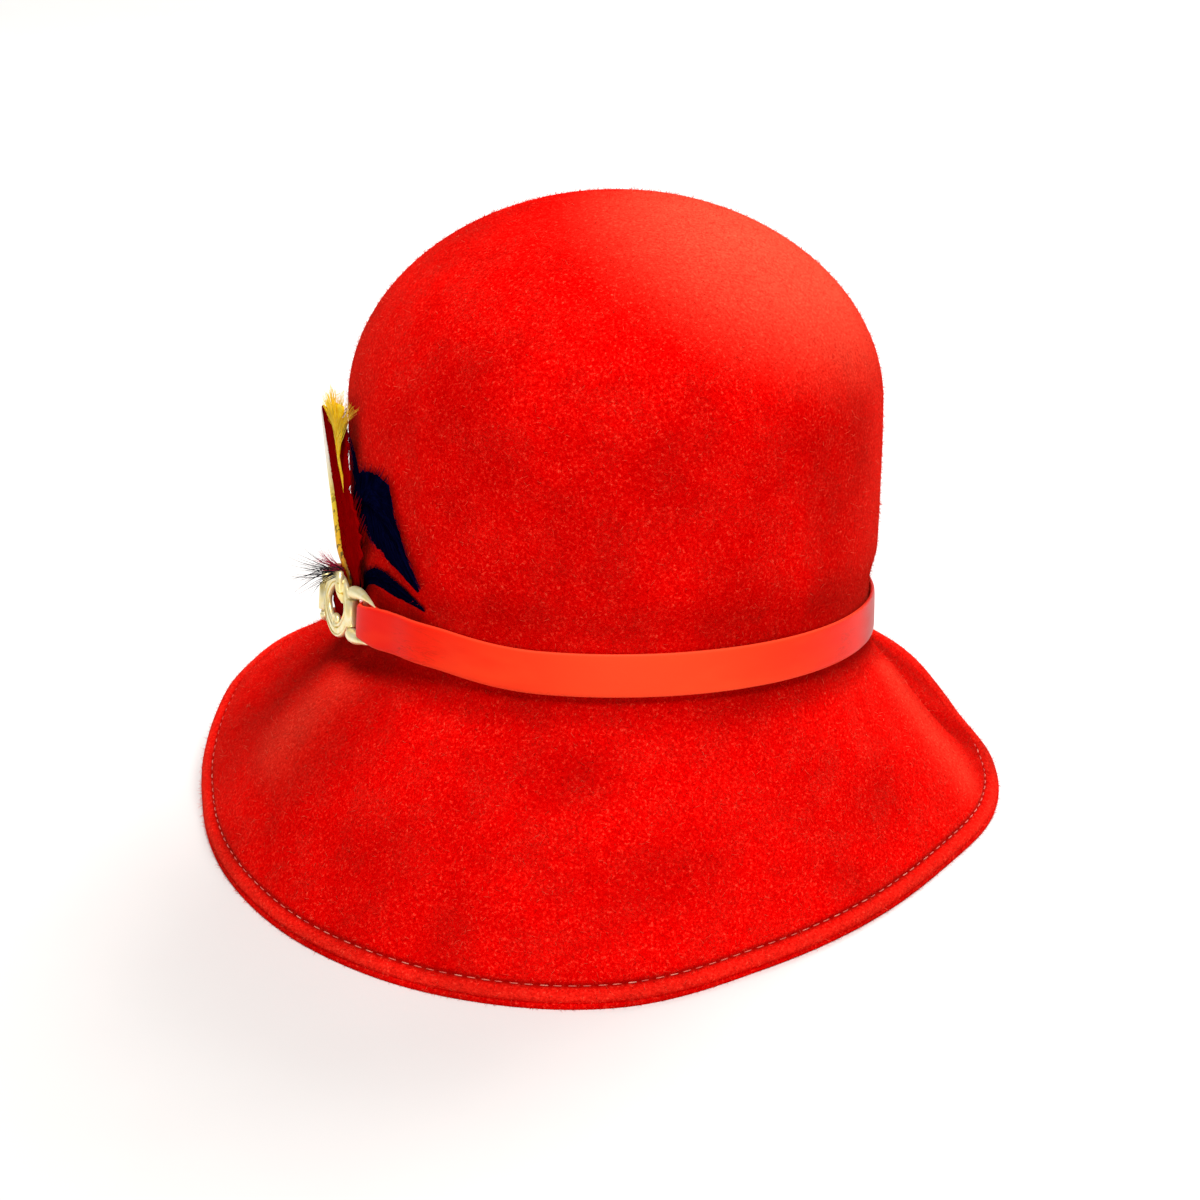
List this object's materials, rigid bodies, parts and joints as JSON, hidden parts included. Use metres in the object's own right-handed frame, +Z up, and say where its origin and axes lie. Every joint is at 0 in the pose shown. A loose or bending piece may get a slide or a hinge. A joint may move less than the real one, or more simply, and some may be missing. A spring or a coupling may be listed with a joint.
{
  "type": "cloche hat",
  "caption": "Rounded felt hat with a deep drooping brim, a leather band joined at one side by a gilt link, and a spray of feathers tucked behind it",
  "frame": {"origin": "On the surface the hat rests on, under the middle of the brim", "axes": "+Z up, the hat's front towards -Y, the side with the link and feathers towards -X"},
  "size_m": [0.2667, 0.2873, 0.1987],
  "materials": {
    "felt": "brushed wool felt",
    "leather": "smooth, soft sheen",
    "gilt": "polished pale gilt",
    "feather_red": "feather, matt",
    "feather_yellow": "feather, matt",
    "feather_navy": "feather, faint gloss",
    "feather_black": "feather, matt"
  },
  "bodies": {
    "root": {"felt_body": "felt", "leather_strap": "leather", "ring_front": "gilt", "ring_rear": "gilt", "centre_link": "gilt", "feather_red": "feather_red", "feather_yellow": "feather_yellow", "feather_navy_upper": "feather_navy", "feather_navy_lower": "feather_navy", "feather_tuft": "feather_black"}
  },
  "joints": []
}
